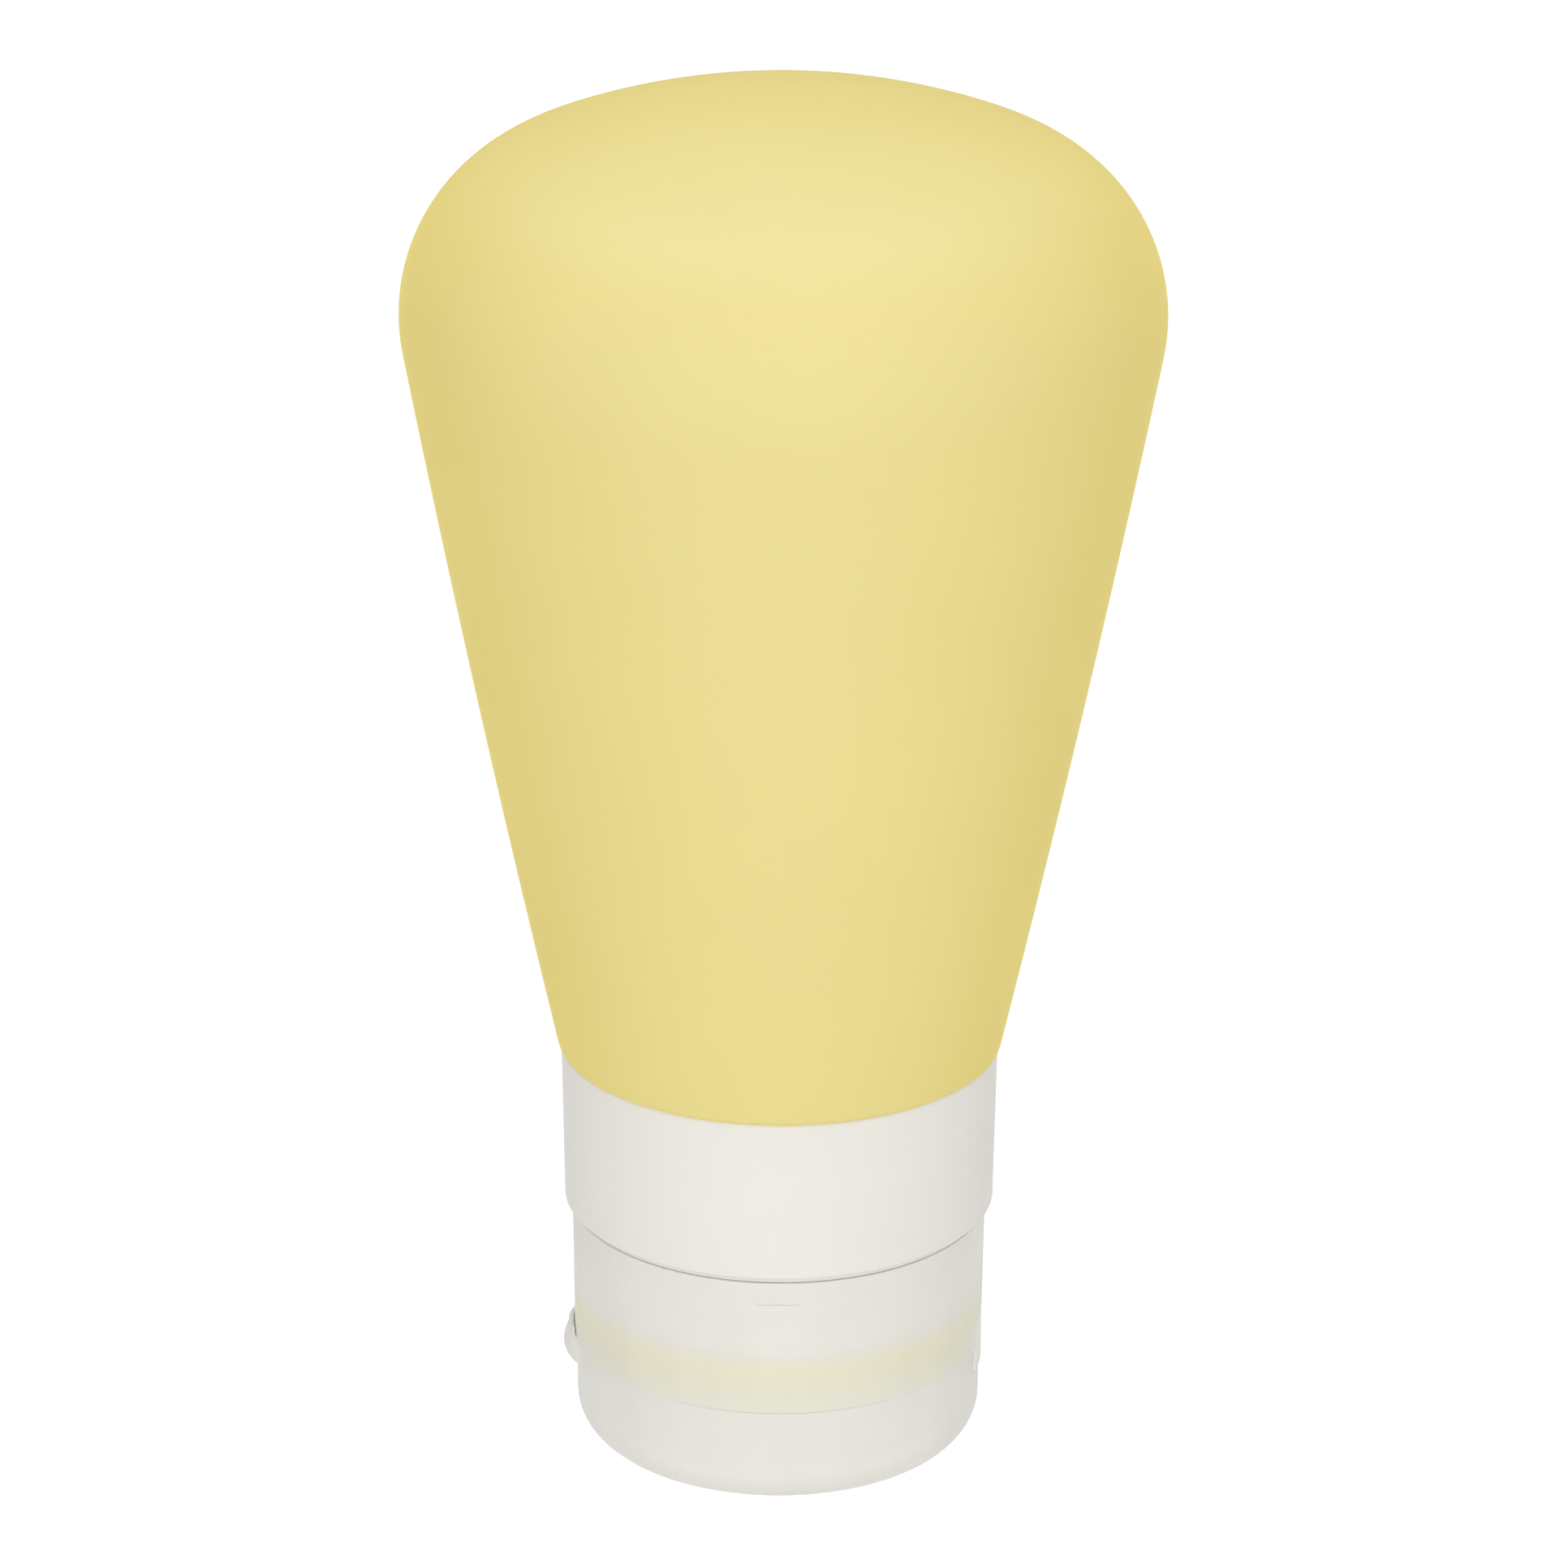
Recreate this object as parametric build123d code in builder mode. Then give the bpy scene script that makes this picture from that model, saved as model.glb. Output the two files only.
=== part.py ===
"""Travel silicone bottle that stands on its flip lid, in millimetres.

The axis of the bottle is Z. The origin is the centre of the lid's flat end, on which the bottle
stands, so the domed closed end of the flask is the top. The lid's thumb tab points to -X, its
living hinge to +X, and the index mark on the cap to -Y.
"""

from build123d import *
import os
from math import acos, asin, atan2, cos, degrees, hypot, pi, sin, sqrt

os.makedirs("parts", exist_ok=True)

# Flask: a soft round bottle that widens towards its gently domed closed end
flask_height = 71.1
flask_radius = 27.0
flask_neck_overhang = 0.2
flask_shoulder_radius = 13.1
flask_dome_rise = 2.75
flask_side_bow = 0.25
flask_wall = 2.0
flask_edge_round = 0.5
sleeve_wall = 1.9
sleeve_end_wall = 1.65
sleeve_end_height = 0.7

# Collar: a rigid sleeve that clamps the flask's neck
collar_height = 12.7
collar_wall = 1.15
collar_draft = 0.2
collar_chamfer = 0.6
collar_top_round = 0.35
collar_lip_height = 1.0
collar_bead_height = 0.6

# Neck insert: the rigid tube inside the flask's neck, with the thread for the cap
insert_bore_radius = 11.2
insert_wall = 1.3
insert_root_wall = 1.5
insert_flange_height = 1.2
insert_flange_overhang = 1.0
insert_barb_height = 1.6
insert_barb_depth = 0.6
insert_top_gap = 0.8
mouth_chamfer = 0.3

# Thread: right-handed, one start, on the neck insert and in the cap
thread_pitch = 3.0
thread_depth = 0.9
thread_root_width = 1.3
thread_crest_width = 0.7
thread_root_overlap = 0.2
outer_thread_turns = 1.5
inner_thread_turns = 1.2
outer_thread_offset = 0.9

# Cap: the translucent screw cap with its deck, nozzle and index mark
cap_height = 10.4
cap_wall = 1.3
cap_draft = 0.1
cap_deck = 1.4
cap_rim_round = 0.15
nozzle_height = 3.4
nozzle_radius = 5.0
nozzle_bore_radius = 3.0
nozzle_round = 0.8
snap_ring_height = 0.9
snap_ring_width = 1.0
boss_wall = 1.05
boss_height = 2.4
index_width = 3.6
index_height = 0.8
index_depth = 0.05
index_drop = 0.95

# Mouth gasket: the soft ring between the cap's deck and the mouth
gasket_height = 1.8
gasket_edge_gap = 0.5

# Flow valve and the ring that holds it
valve_flange_height = 1.0
valve_wall = 0.6
valve_dome_rise = 0.4
valve_plug_gap = 0.3
valve_slit_length = 3.0
valve_slit_width = 0.15
retainer_height = 1.0
retainer_bore_radius = 4.2
retainer_chamfer = 0.25

# Flip lid: a shallow cup with a plug for the nozzle and a thumb tab
lid_height = 7.9
lid_step = 0.15
lid_draft = 0.05
lid_wall = 1.2
lid_end_wall = 1.5
lid_end_round = 3.0
lid_inner_round = 1.8
plug_taper = 0.45
plug_reach = 1.7
plug_base_width = 2.2
plug_base_height = 1.4
tab_width = 7.0
tab_proud = 1.0
tab_height = 2.75
tab_lip_height = 0.45
tab_lip_proud = 0.35

# Living hinge: a thin flexible strap, flush with the cap's side
hinge_width = 8.0
hinge_reach = 2.0
hinge_thickness = 0.45
hinge_groove_height = 0.9
hinge_groove_depth = 0.2

# Gaps: a running gap between pieces that move apart, and a seat gap between pieces that stay
running_gap = 0.1
seat_gap = 0.05
collar_gap = 0.1
thread_gap = 0.25
boss_gap = 1.0
plug_gap = 0.25
cut_overrun = 1.0

# Levels along the bottle, from the lid's flat end upwards
parting_level = lid_height
lid_rim_level = parting_level - running_gap
deck_top = parting_level + cap_deck
cap_rim_level = parting_level + cap_height
collar_bottom = cap_rim_level + collar_gap
collar_top = collar_bottom + collar_height
flask_top = collar_top + flask_height
gasket_bottom = deck_top + seat_gap
mouth_level = gasket_bottom + gasket_height + running_gap
flange_bottom = collar_bottom + collar_lip_height + seat_gap
flange_top = flange_bottom + insert_flange_height
sleeve_end = flange_top + seat_gap
bead_bottom = flange_top + seat_gap
bead_top = bead_bottom + collar_bead_height
insert_top = collar_top - insert_top_gap
nozzle_tip = parting_level - nozzle_height

# Radii that fit one piece to the next
insert_outer_radius = insert_bore_radius + insert_wall
outer_thread_root = insert_bore_radius + insert_root_wall
outer_thread_crest = outer_thread_root + thread_depth
insert_flange_radius = outer_thread_crest + insert_flange_overhang
sleeve_bore_radius = insert_outer_radius + seat_gap
sleeve_outer_radius = sleeve_bore_radius + sleeve_wall
sleeve_end_radius = sleeve_bore_radius + sleeve_end_wall
collar_bore_radius = max(insert_flange_radius, sleeve_outer_radius) + seat_gap
cap_bore_radius = outer_thread_crest + thread_gap
cap_edge_radius = cap_bore_radius + cap_wall
cap_rim_radius = cap_edge_radius + cap_draft
inner_thread_crest = cap_bore_radius - thread_depth
collar_lip_radius = outer_thread_crest + thread_gap
collar_bottom_radius = collar_bore_radius + collar_wall
collar_top_radius = collar_bottom_radius + collar_draft
flask_neck_radius = collar_top_radius + flask_neck_overhang
gasket_outer_radius = cap_bore_radius - gasket_edge_gap
lid_rim_radius = cap_edge_radius - lid_step
lid_end_radius = lid_rim_radius - lid_draft
lid_bore_radius = lid_rim_radius - lid_wall
plug_radius = nozzle_bore_radius - plug_gap
plug_tip_radius = plug_radius - plug_taper
boss_radius = insert_bore_radius - boss_gap
boss_bore_radius = boss_radius - boss_wall
retainer_radius = boss_bore_radius - seat_gap
valve_radius = boss_bore_radius - seat_gap
valve_skirt_radius = nozzle_bore_radius - seat_gap


def flask_arcs():
    """Centres of the flask's three profile arcs (side, shoulder, dome) and the arcs' radii.

    The shoulder arc touches the nearly straight side and the domed end from inside both.
    """
    shoulder = (flask_radius - flask_shoulder_radius, flask_top - flask_dome_rise - flask_shoulder_radius)
    start = (flask_neck_radius, collar_top)
    span = hypot(shoulder[0] - start[0], shoulder[1] - start[1])
    chord = sqrt(span**2 - flask_shoulder_radius**2)
    side_radius = chord**2 / (8 * flask_side_bow)
    # The side's centre lies side_radius from the neck edge and touches the shoulder arc
    reach = side_radius - flask_shoulder_radius
    along = (side_radius**2 - reach**2 + span**2) / (2 * span)
    turn = atan2(shoulder[1] - start[1], shoulder[0] - start[0]) + acos(along / side_radius)
    side = (start[0] + side_radius * cos(turn), start[1] + side_radius * sin(turn))
    middle = (flask_top - flask_shoulder_radius + shoulder[1]) / 2
    dome = (0, middle - shoulder[0] ** 2 / (2 * flask_dome_rise))
    return (side, side_radius), (shoulder, flask_shoulder_radius), (dome, flask_top - dome[1])


def flask_outline(inset, base_level):
    """Draw the flask's profile from base_level up to the axis, as tangent arcs moved in by inset."""
    (side, side_radius), (shoulder, shoulder_radius), (dome, dome_radius) = flask_arcs()

    def on_arc(centre, radius, angle):
        return (centre[0] + (radius - inset) * cos(angle), centre[1] + (radius - inset) * sin(angle))

    base_angle = asin((base_level - side[1]) / (side_radius - inset))
    side_angle = atan2(shoulder[1] - side[1], shoulder[0] - side[0])
    dome_angle = atan2(shoulder[1] - dome[1], shoulder[0] - dome[0])
    top_angle = pi / 2
    for centre, radius, first, last in (
        (side, side_radius, base_angle, side_angle),
        (shoulder, shoulder_radius, side_angle, dome_angle),
        (dome, dome_radius, dome_angle, top_angle),
    ):
        ThreePointArc(
            on_arc(centre, radius, first),
            on_arc(centre, radius, (first + last) / 2),
            on_arc(centre, radius, last),
        )
    return on_arc(side, side_radius, base_angle)


def ring(inner, outer, bottom, top):
    """Add the half section of a plain ring to the sketch in hand."""
    with Locations(((inner + outer) / 2, (bottom + top) / 2)):
        Rectangle(outer - inner, top - bottom)


def thread_ridge(root, crest, start_level, turns):
    """A helical ridge whose root lies thread_root_overlap inside the wall that carries it."""
    outward = 1 if crest > root else -1
    slope = (thread_root_width - thread_crest_width) / 2 / thread_depth
    foot = thread_root_width / 2 + slope * thread_root_overlap
    with BuildPart() as ridge:
        with BuildLine() as path:
            Helix(thread_pitch, thread_pitch * turns, root, center=(0, 0, start_level))
        with BuildSketch(Plane(path.line @ 0, x_dir=(1, 0, 0), z_dir=path.line % 0)):
            Polygon(
                (-outward * thread_root_overlap, -foot),
                (outward * thread_depth, -thread_crest_width / 2),
                (outward * thread_depth, thread_crest_width / 2),
                (-outward * thread_root_overlap, foot),
                align=None,
            )
        sweep(path=path.line, is_frenet=True)
    return ridge.part


# Bottle body: the silicone flask with the sleeve that is squeezed between insert and collar
barb_top = insert_top - insert_barb_depth
barb_bottom = barb_top - insert_barb_height
with BuildPart() as bottle_body:
    with BuildSketch(Plane.XZ) as flask_solid:
        with BuildLine():
            neck_edge = flask_outline(0, collar_top)
            Polyline((0, flask_top), (0, collar_top), neck_edge)
        make_face()
        edge_corner = flask_solid.vertices().group_by(Axis.Y)[0].sort_by(Axis.X)[-1]
        fillet(edge_corner, flask_edge_round)
    revolve(axis=Axis.Z)
    with BuildSketch(Plane.XZ):
        ring(0, sleeve_outer_radius, sleeve_end + sleeve_end_height, collar_top + cut_overrun)
        ring(0, sleeve_end_radius, sleeve_end, collar_top)
    revolve(axis=Axis.Z)
    with BuildSketch(Plane.XZ):
        with BuildLine():
            inner_edge = flask_outline(flask_wall, collar_top + flask_wall)
            Polyline(
                (0, flask_top - flask_wall),
                (0, collar_top - cut_overrun),
                (sleeve_bore_radius, collar_top - cut_overrun),
                (sleeve_bore_radius, collar_top),
                inner_edge,
            )
        make_face()
        ring(0, sleeve_bore_radius, sleeve_end - cut_overrun, collar_top)
        with BuildLine():
            Polyline(
                (sleeve_bore_radius, barb_bottom - seat_gap),
                (sleeve_bore_radius + insert_barb_depth, barb_bottom - seat_gap),
                (sleeve_bore_radius + insert_barb_depth, barb_bottom + insert_barb_depth),
                (sleeve_bore_radius, barb_top + seat_gap),
                close=True,
            )
        make_face()
    revolve(axis=Axis.Z, mode=Mode.SUBTRACT)
bottle_body.part.label = "bottle_body"
export_step(bottle_body.part, "parts/bottle_body.step")

# Collar: lip under the insert's flange, snap bead over it, plain bore round the sleeve
bead_radius = sleeve_end_radius + seat_gap
with BuildPart() as collar:
    with BuildSketch(Plane.XZ) as collar_section:
        with BuildLine():
            Polyline(
                (collar_lip_radius, collar_bottom),
                (collar_bottom_radius, collar_bottom),
                (collar_top_radius, collar_top - seat_gap),
                (collar_bore_radius, collar_top - seat_gap),
                (collar_bore_radius, bead_top),
                (bead_radius, bead_top - seat_gap),
                (bead_radius, bead_bottom),
                (collar_bore_radius, bead_bottom),
                (collar_bore_radius, flange_bottom - seat_gap),
                (collar_lip_radius, flange_bottom - seat_gap),
                close=True,
            )
        make_face()
        rim_corners = collar_section.vertices().sort_by(Axis.X)[-2:]
        chamfer(rim_corners.sort_by(Axis.Y)[0], collar_chamfer)
        fillet(collar_section.vertices().sort_by(Axis.X)[-1], collar_top_round)
    revolve(axis=Axis.Z)
collar.part.label = "collar"
export_step(collar.part, "parts/collar.step")

# Neck insert: tube with the mouth and its thread below the flange, and a barb near its top
outer_thread_start = mouth_level + outer_thread_offset
outer_thread = thread_ridge(outer_thread_root, outer_thread_crest, outer_thread_start, outer_thread_turns)
with BuildPart() as neck_insert:
    with BuildSketch(Plane.XZ) as insert_section:
        with BuildLine():
            Polyline(
                (insert_bore_radius, mouth_level),
                (outer_thread_root, mouth_level),
                (outer_thread_root, flange_bottom),
                (insert_flange_radius, flange_bottom),
                (insert_flange_radius, flange_top),
                (insert_outer_radius, flange_top),
                (insert_outer_radius, barb_bottom),
                (insert_outer_radius + insert_barb_depth, barb_bottom),
                (insert_outer_radius + insert_barb_depth, barb_bottom + insert_barb_depth),
                (insert_outer_radius, barb_top),
                (insert_outer_radius, insert_top),
                (insert_bore_radius, insert_top),
                close=True,
            )
        make_face()
        chamfer(insert_section.vertices().group_by(Axis.Y)[0], mouth_chamfer)
    revolve(axis=Axis.Z)
    add(outer_thread)
neck_insert.part.label = "neck_insert"
export_step(neck_insert.part, "parts/neck_insert.step")

# Living hinge: a strap with a thin line at the parting, centred on +X
hinge_outer_radius = cap_edge_radius
hinge_inner_radius = hinge_outer_radius - hinge_thickness
hinge_sweep = degrees(2 * asin(hinge_width / 2 / hinge_outer_radius))
pocket_sweep = degrees(2 * asin((hinge_width / 2 + running_gap) / hinge_outer_radius))
hinge_top = parting_level + hinge_reach
hinge_bottom = parting_level - hinge_reach
with BuildPart() as living_hinge:
    with BuildSketch(Plane.XZ.rotated((0, 0, -hinge_sweep / 2))):
        ring(hinge_inner_radius, hinge_outer_radius, hinge_bottom, hinge_top)
        with BuildLine():
            Polyline(
                (hinge_inner_radius, parting_level - hinge_groove_height / 2),
                (hinge_inner_radius + hinge_groove_depth, parting_level),
                (hinge_inner_radius, parting_level + hinge_groove_height / 2),
                close=True,
            )
        make_face(mode=Mode.SUBTRACT)
    revolve(axis=Axis.Z, revolution_arc=hinge_sweep)
living_hinge.part.label = "living_hinge"
export_step(living_hinge.part, "parts/living_hinge.step")

# Cap body: threaded skirt, deck, nozzle, snap ring for the lid and boss for the valve
pocket_radius = hinge_inner_radius - running_gap
inner_thread_start = outer_thread_start + thread_pitch / 2
inner_thread = thread_ridge(cap_bore_radius, inner_thread_crest, inner_thread_start, inner_thread_turns)
snap_ring_radius = lid_bore_radius - running_gap - seat_gap
snap_ring_bottom = parting_level - snap_ring_height
with BuildPart() as cap_body:
    with BuildSketch(Plane.XZ) as cap_section:
        with BuildLine():
            Polyline(
                (nozzle_bore_radius, parting_level),
                (cap_edge_radius, parting_level),
                (cap_rim_radius, cap_rim_level),
                (cap_bore_radius, cap_rim_level),
                (cap_bore_radius, deck_top),
                (nozzle_bore_radius, deck_top),
                close=True,
            )
        make_face()
        fillet(cap_section.vertices().group_by(Axis.Y)[-1], cap_rim_round)
        ring(snap_ring_radius - snap_ring_width, snap_ring_radius, snap_ring_bottom, parting_level)
        ring(boss_bore_radius, boss_radius, deck_top, deck_top + boss_height)
        ring(nozzle_bore_radius, nozzle_radius, nozzle_tip, parting_level)
    revolve(axis=Axis.Z)
    fillet(
        cap_body.edges().filter_by(GeomType.CIRCLE).group_by(Axis.Z)[0].sort_by(SortBy.RADIUS)[-1],
        nozzle_round,
    )
    with BuildSketch(Plane.XZ.rotated((0, 0, -pocket_sweep / 2))):
        ring(
            pocket_radius,
            cap_rim_radius + cut_overrun,
            parting_level - cut_overrun,
            hinge_top + running_gap,
        )
    revolve(axis=Axis.Z, revolution_arc=pocket_sweep, mode=Mode.SUBTRACT)
    with BuildSketch(Plane.XZ.offset(cap_edge_radius - index_depth)):
        with Locations((0, cap_rim_level - index_drop - index_height / 2)):
            SlotOverall(index_width, index_height)
    extrude(amount=index_depth + cut_overrun, mode=Mode.SUBTRACT)
    add(inner_thread)
cap_body.part.label = "cap_body"
export_step(cap_body.part, "parts/cap_body.step")

# Mouth gasket: a flat soft ring round the boss
gasket_inner_radius = boss_radius + seat_gap
with BuildPart() as mouth_gasket:
    with BuildSketch(Plane.XZ):
        ring(gasket_inner_radius, gasket_outer_radius, gasket_bottom, gasket_bottom + gasket_height)
    revolve(axis=Axis.Z)
mouth_gasket.part.label = "mouth_gasket"
export_step(mouth_gasket.part, "parts/mouth_gasket.step")

# Flow valve: flange on the deck, skirt down the nozzle, domed end with a cross slit
valve_bottom = deck_top + seat_gap
valve_top = valve_bottom + valve_flange_height
plug_tip = nozzle_tip + plug_reach
valve_end = plug_tip + valve_plug_gap
valve_dome = valve_end + valve_wall
valve_bore_radius = valve_skirt_radius - valve_wall
with BuildPart() as flow_valve:
    with BuildSketch(Plane.XZ):
        with BuildLine():
            Polyline(
                (0, valve_dome),
                (0, valve_end),
                (valve_skirt_radius, valve_end),
                (valve_skirt_radius, valve_bottom),
                (valve_radius, valve_bottom),
                (valve_radius, valve_top),
                (valve_bore_radius, valve_top),
                (valve_bore_radius, valve_dome + valve_dome_rise),
            )
            ThreePointArc(
                (valve_bore_radius, valve_dome + valve_dome_rise),
                (valve_bore_radius / 2, valve_dome + valve_dome_rise / 4),
                (0, valve_dome),
            )
        make_face()
    revolve(axis=Axis.Z)
    with BuildSketch(Plane.XY.offset(valve_end)):
        Rectangle(valve_slit_length, valve_slit_width)
        Rectangle(valve_slit_width, valve_slit_length)
    extrude(amount=valve_wall + valve_dome_rise, mode=Mode.SUBTRACT)
flow_valve.part.label = "flow_valve"
export_step(flow_valve.part, "parts/flow_valve.step")

# Valve retainer: a ring pressed into the boss on top of the valve's flange
retainer_bottom = valve_top + seat_gap
with BuildPart() as valve_retainer:
    with BuildSketch(Plane.XZ) as retainer_section:
        ring(retainer_bore_radius, retainer_radius, retainer_bottom, retainer_bottom + retainer_height)
        chamfer(retainer_section.vertices().group_by(Axis.Y)[-1], retainer_chamfer)
    revolve(axis=Axis.Z)
valve_retainer.part.label = "valve_retainer"
export_step(valve_retainer.part, "parts/valve_retainer.step")

# Thumb tab: a rounded bump in plan, with a thin lip that reaches up beside the cap
tab_outer_radius = lid_rim_radius + tab_proud
tab_root = sqrt(lid_rim_radius**2 - (tab_width / 2) ** 2)
tab_rise = tab_outer_radius - tab_root
tab_plan_radius = ((tab_width / 2) ** 2 + tab_rise**2) / (2 * tab_rise)
tab_centre = tab_plan_radius - tab_outer_radius
tab_bottom = parting_level - tab_height
tab_top = parting_level + tab_lip_height
tab_middle = (tab_bottom + parting_level) / 2
lip_inner_radius = cap_edge_radius + running_gap
lip_plan_radius = lip_inner_radius + tab_lip_proud + tab_centre
with BuildPart() as thumb_tab:
    with BuildSketch(Plane.XZ.move(Location((tab_centre, 0, 0)))):
        with BuildLine():
            foot = Line((0, tab_bottom), (tab_plan_radius - tab_proud, tab_bottom))
            belly = ThreePointArc(
                foot @ 1,
                (tab_plan_radius - tab_proud / 4, (tab_bottom + tab_middle) / 2),
                (tab_plan_radius, tab_middle),
            )
            brow = TangentArc(belly @ 1, (lip_plan_radius, parting_level), tangent=(0, 1))
            Polyline(brow @ 1, (lip_plan_radius, tab_top), (0, tab_top), foot @ 0)
        make_face()
    revolve(axis=Axis((tab_centre, 0, 0), (0, 0, 1)))
    with BuildSketch(Plane.XY.offset(tab_bottom - cut_overrun)):
        Circle(lid_rim_radius - lid_wall / 2)
    extrude(amount=lid_rim_level - tab_bottom + cut_overrun, mode=Mode.SUBTRACT)
    with BuildSketch(Plane.XY.offset(lid_rim_level)):
        Circle(lip_inner_radius)
    extrude(amount=tab_top - lid_rim_level + cut_overrun, mode=Mode.SUBTRACT)

# Flip lid: cup with rounded end, plug for the nozzle, thumb tab and a pocket for the hinge
plug_base_radius = plug_radius + plug_base_width
with BuildPart() as flip_lid:
    with BuildSketch(Plane.XZ) as lid_section:
        with BuildLine():
            Polyline(
                (0, 0),
                (lid_end_radius, 0),
                (lid_rim_radius, lid_rim_level),
                (lid_bore_radius, lid_rim_level),
                (lid_bore_radius, lid_end_wall),
                (0, lid_end_wall),
                close=True,
            )
        make_face()
        fillet(lid_section.vertices().group_by(Axis.X)[1].sort_by(Axis.Y)[0], lid_inner_round)
        fillet(lid_section.vertices().group_by(Axis.Y)[0].sort_by(Axis.X)[-1], lid_end_round)
        with BuildLine():
            Polyline(
                (0, lid_end_wall),
                (plug_base_radius, lid_end_wall),
                (plug_radius, lid_end_wall + plug_base_height),
                (plug_radius, nozzle_tip + plug_reach / 2),
                (plug_tip_radius, plug_tip),
                (0, plug_tip),
                close=True,
            )
        make_face()
    revolve(axis=Axis.Z)
    add(thumb_tab.part)
    with BuildSketch(Plane.XZ.rotated((0, 0, -pocket_sweep / 2))):
        ring(pocket_radius, lid_rim_radius + cut_overrun, hinge_bottom - running_gap, parting_level)
    revolve(axis=Axis.Z, revolution_arc=pocket_sweep, mode=Mode.SUBTRACT)
flip_lid.part.label = "flip_lid"
export_step(flip_lid.part, "parts/flip_lid.step")
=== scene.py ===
# %% [markdown]
# # A travel silicone bottle
# The bottle stands upside down on its flip lid. Its flask is soft yellow silicone, its collar is
# opaque white plastic, and its screw cap and flip lid are frosted, see-through plastic. The packed
# model gives the fixed frame: every piece below is placed from the boxes of its nodes, in metres.

# %% Load the frame
from math import acos, asin, atan2, cos, hypot, pi, radians, sin, tan

import bmesh
import bpy
from mathutils import Matrix, Vector


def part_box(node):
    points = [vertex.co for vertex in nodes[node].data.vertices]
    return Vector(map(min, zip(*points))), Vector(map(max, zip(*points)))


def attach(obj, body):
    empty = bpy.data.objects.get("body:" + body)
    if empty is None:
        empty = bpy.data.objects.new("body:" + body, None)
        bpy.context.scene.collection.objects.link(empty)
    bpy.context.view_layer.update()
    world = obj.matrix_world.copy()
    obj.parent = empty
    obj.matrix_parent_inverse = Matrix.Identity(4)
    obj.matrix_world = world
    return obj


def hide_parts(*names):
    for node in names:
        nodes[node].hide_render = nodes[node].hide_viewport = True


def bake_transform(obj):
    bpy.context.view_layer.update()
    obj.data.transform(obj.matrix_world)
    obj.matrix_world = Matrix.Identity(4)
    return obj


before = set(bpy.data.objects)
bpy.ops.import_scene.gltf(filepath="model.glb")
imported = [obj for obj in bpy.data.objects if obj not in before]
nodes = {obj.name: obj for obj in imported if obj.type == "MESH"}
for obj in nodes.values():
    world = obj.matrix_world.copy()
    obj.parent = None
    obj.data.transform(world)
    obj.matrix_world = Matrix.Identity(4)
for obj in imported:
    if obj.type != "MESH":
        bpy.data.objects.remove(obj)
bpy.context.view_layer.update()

MM = 0.001
print("nodes:", sorted(nodes))

# %% [markdown]
# ## The camera
# The photograph looks down on the bottle by about 21 degrees from a little under half a metre, with
# a long lens, and it is rolled by a third of a degree. The camera is placed by those angles and that
# distance and aimed at a point beside the axis, so the ellipses of the rims open as much as they do in
# the photograph.

# %% Place the camera
VIEW_DISTANCE = 458.1 * MM
VIEW_ELEVATION = radians(20.8)
VIEW_ROLL = radians(0.31)
VIEW_CENTRE = Vector((0.22 * MM, 0, 50.9 * MM))
PICTURE_SIZE = 1932
FOCAL_PIXELS = 7816
SENSOR_WIDTH = 36

camera_data = bpy.data.cameras.new("camera")
camera_data.sensor_width = SENSOR_WIDTH
camera_data.lens = SENSOR_WIDTH * FOCAL_PIXELS / PICTURE_SIZE
camera = bpy.data.objects.new("camera", camera_data)
bpy.context.scene.collection.objects.link(camera)
camera.location = VIEW_CENTRE + VIEW_DISTANCE * Vector((0, -cos(VIEW_ELEVATION), sin(VIEW_ELEVATION)))
level_turn = Matrix.Rotation(pi / 2 - VIEW_ELEVATION, 3, "X")
camera.rotation_euler = (level_turn @ Matrix.Rotation(VIEW_ROLL, 3, "Z")).to_euler()
bpy.context.scene.camera = camera
print("lens:", round(camera_data.lens, 1), "mm")

# %% [markdown]
# ## Helpers for modelling by hand
# An operator acts on all that is selected, so each new piece starts with nothing selected. Nearly
# every piece of a bottle is turned: one outline, spun about the axis. The outline is drawn by
# extruding a single vertex from point to point, and spun round in edit mode. A spin that goes only
# part of the way starts on the hinge side, at +X, and runs clockwise as seen from above.

# %% Select nothing, and start from one vertex
SEGMENTS = 192
MERGE_DISTANCE = 0.002 * MM


def clear_selection():
    """Leave edit mode and select nothing."""
    if bpy.context.mode != "OBJECT":
        bpy.ops.object.mode_set(mode="OBJECT")
    bpy.ops.object.select_all(action="DESELECT")


def start_vertex(name, place):
    """Add a plane, merge it to one selected vertex at the place, and stay in edit mode."""
    clear_selection()
    bpy.ops.mesh.primitive_plane_add(size=MM, location=place)
    piece = bpy.context.object
    piece.name = name
    piece.data.name = name
    bpy.ops.object.transform_apply(location=True, rotation=True, scale=True)
    bpy.ops.object.mode_set(mode="EDIT")
    bpy.ops.mesh.select_mode(type="VERT")
    bpy.ops.mesh.select_all(action="SELECT")
    bpy.ops.mesh.merge(type="CENTER")
    return piece


def draw_outline(points):
    """Extrude the selected vertex along the points (radius, height), which lie in the XZ plane."""
    for (from_radius, from_height), (to_radius, to_height) in zip(points, points[1:]):
        step = (to_radius - from_radius, 0, to_height - from_height)
        bpy.ops.mesh.extrude_region_move(TRANSFORM_OT_translate={"value": step})


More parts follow.
